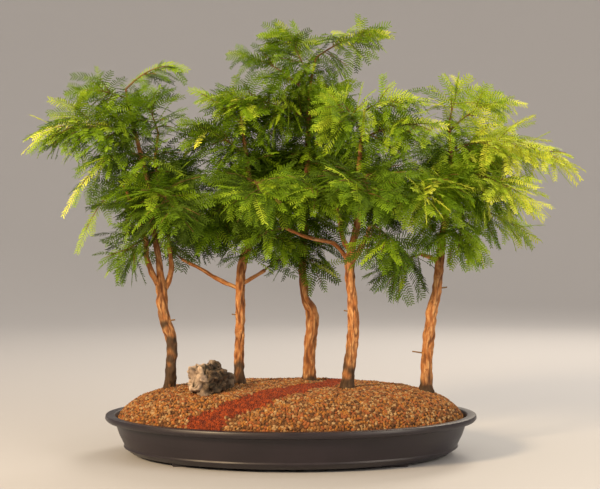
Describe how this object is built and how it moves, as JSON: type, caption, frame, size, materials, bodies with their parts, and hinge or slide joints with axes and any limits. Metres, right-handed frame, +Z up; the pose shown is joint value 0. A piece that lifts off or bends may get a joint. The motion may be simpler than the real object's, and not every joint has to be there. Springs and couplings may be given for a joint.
{
  "type": "dawn redwood bonsai forest",
  "caption": "Forest of slim dawn redwood trees with feathery crowns on a gravel mound with a red path and a stone, in a low oval bonsai tray on small feet.",
  "frame": {"origin": "middle of the whole plant's box in plan, at the height of the tray's feet", "axes": "+X along the tray's length to the picture's right, +Y to the back, +Z up"},
  "size_m": [0.6924, 0.364, 0.5564],
  "materials": {
    "tray": "dark brown-black moulded tray with a satin surface",
    "gravel": "loose tan, ochre and brown gravel",
    "red_gravel": "fine red-brown gravel",
    "stone": "rugged pale grey limestone with darker hollows",
    "bark": "fibrous orange-brown bark that flakes in strips",
    "needles": "soft green needles in flat feathery sprays"
  },
  "bodies": {
    "root": {"bough_2_left": "bark", "bough_2_right": "bark", "bough_4_left": "bark", "bough_4_right": "bark", "bough_4_rising": "bark", "bough_5_left": "bark", "foliage_1_back": "needles", "foliage_1_drooping_left": "needles", "foliage_1_front": "needles", "foliage_1_hanging_left": "needles", "foliage_1_high_left": "needles", "foliage_1_high_right": "needles", "foliage_1_left": "needles", "foliage_1_low_left": "needles", "foliage_1_low_right": "needles", "foliage_1_top": "needles", "foliage_2_back": "needles", "foliage_2_far_left": "needles", "foliage_2_front": "needles", "foliage_2_high_left": "needles", "foliage_2_left": "needles", "foliage_2_low_right": "needles", "foliage_2_right_tuft": "needles", "foliage_2_top": "needles", "foliage_3_back_left": "needles", "foliage_3_back_right": "needles", "foliage_3_high_left": "needles", "foliage_3_left": "needles", "foliage_3_low": "needles", "foliage_3_right": "needles", "foliage_3_top_left": "needles", "foliage_3_top_right": "needles", "foliage_4_back": "needles", "foliage_4_front": "needles", "foliage_4_high_left": "needles", "foliage_4_high_right": "needles", "foliage_4_left": "needles", "foliage_4_low_left": "needles", "foliage_4_low_right": "needles", "foliage_4_top": "needles", "foliage_5_back": "needles", "foliage_5_far_right": "needles", "foliage_5_front": "needles", "foliage_5_high_right": "needles", "foliage_5_low_back": "needles", "foliage_5_low_front": "needles", "foliage_5_low_right": "needles", "foliage_5_right": "needles", "foliage_5_top": "needles", "gravel_mound": "gravel", "gravel_path": "red_gravel", "stem_1_left": "bark", "stem_1_right": "bark", "stone": "stone", "tray": "tray", "trunk_1": "bark", "trunk_2": "bark", "trunk_3": "bark", "trunk_4": "bark", "trunk_5": "bark"}
  },
  "joints": []
}
